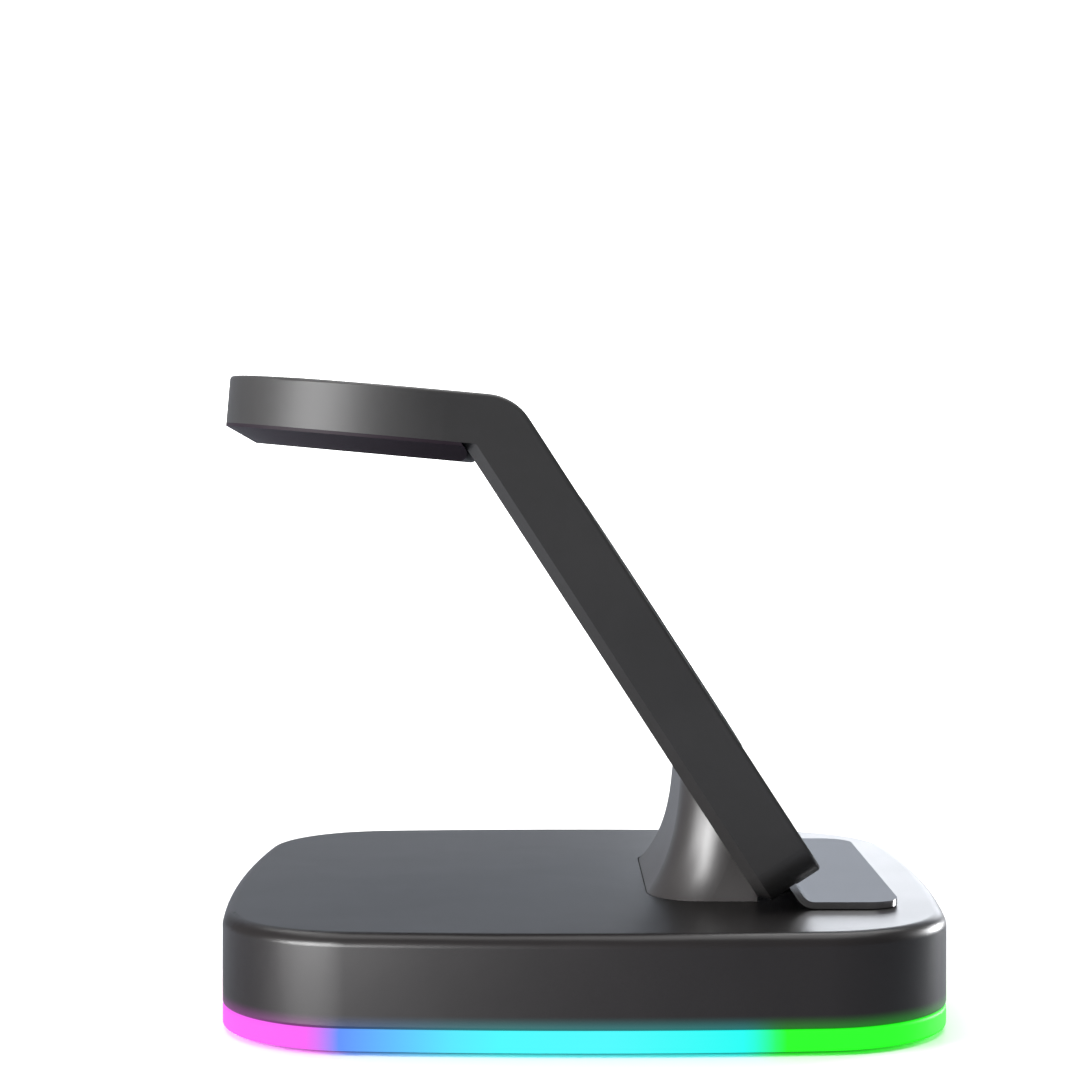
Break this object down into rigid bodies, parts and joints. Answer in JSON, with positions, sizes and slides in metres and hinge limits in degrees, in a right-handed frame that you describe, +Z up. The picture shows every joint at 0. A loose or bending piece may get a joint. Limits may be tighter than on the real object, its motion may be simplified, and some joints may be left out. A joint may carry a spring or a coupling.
{
  "type": "three in one wireless charging stand",
  "caption": "Charging stand: rounded-square base with a light ring, flared pedestal, leaning phone paddle with a bent ledge, and a watch platform that reaches back over the base",
  "frame": {"origin": "on the table, under the middle of the base", "axes": "+Z up, +X towards the user, so the phone faces +X, and +Y to the left of a user who looks at the phone"},
  "size_m": [0.1122, 0.108, 0.0978],
  "materials": {
    "shell_plastic": "soft-touch charcoal moulding",
    "plate_plastic": "plain moulded underside",
    "diffuser": "translucent light guide",
    "foot_rubber": "matt",
    "soft_silicone": "satin silicone",
    "puck_plastic": "polished dish",
    "ledge_metal": "dark polished plate",
    "screw_steel": "zinc plated",
    "ballast_steel": "cut plate",
    "port_steel": "stamped sleeve",
    "port_insulator": "moulded insulator",
    "board_laminate": "circuit board",
    "chip_resin": "moulded packages",
    "lamp_lens": "clear resin",
    "coil_copper": "enamelled copper",
    "ferrite": "sintered sheet",
    "magnet_nickel": "nickel plated"
  },
  "bodies": {
    "root": {"base_shell": "shell_plastic", "pedestal": "shell_plastic", "arm_shell": "shell_plastic", "belly_cover": "shell_plastic", "phone_panel": "shell_plastic", "bottom_plate": "plate_plastic", "light_ring": "diffuser", "rubber_feet": "foot_rubber", "grip_ring": "soft_silicone", "watch_puck": "puck_plastic", "phone_ledge": "ledge_metal", "base_screws": "screw_steel", "board_screws": "screw_steel", "pedestal_screws": "screw_steel", "arm_screws": "screw_steel", "ledge_screws": "screw_steel", "ballast_plate": "ballast_steel", "port_sleeve": "port_steel", "port_tongue": "port_insulator", "main_board": "board_laminate", "led_board": "board_laminate", "board_components": "chip_resin", "leds": "lamp_lens", "earbuds_coil": "coil_copper", "phone_coil_upper": "coil_copper", "phone_coil_lower": "coil_copper", "watch_coil": "coil_copper", "earbuds_ferrite": "ferrite", "phone_ferrite": "ferrite", "watch_ferrite": "ferrite", "watch_magnet": "magnet_nickel"}
  },
  "joints": []
}
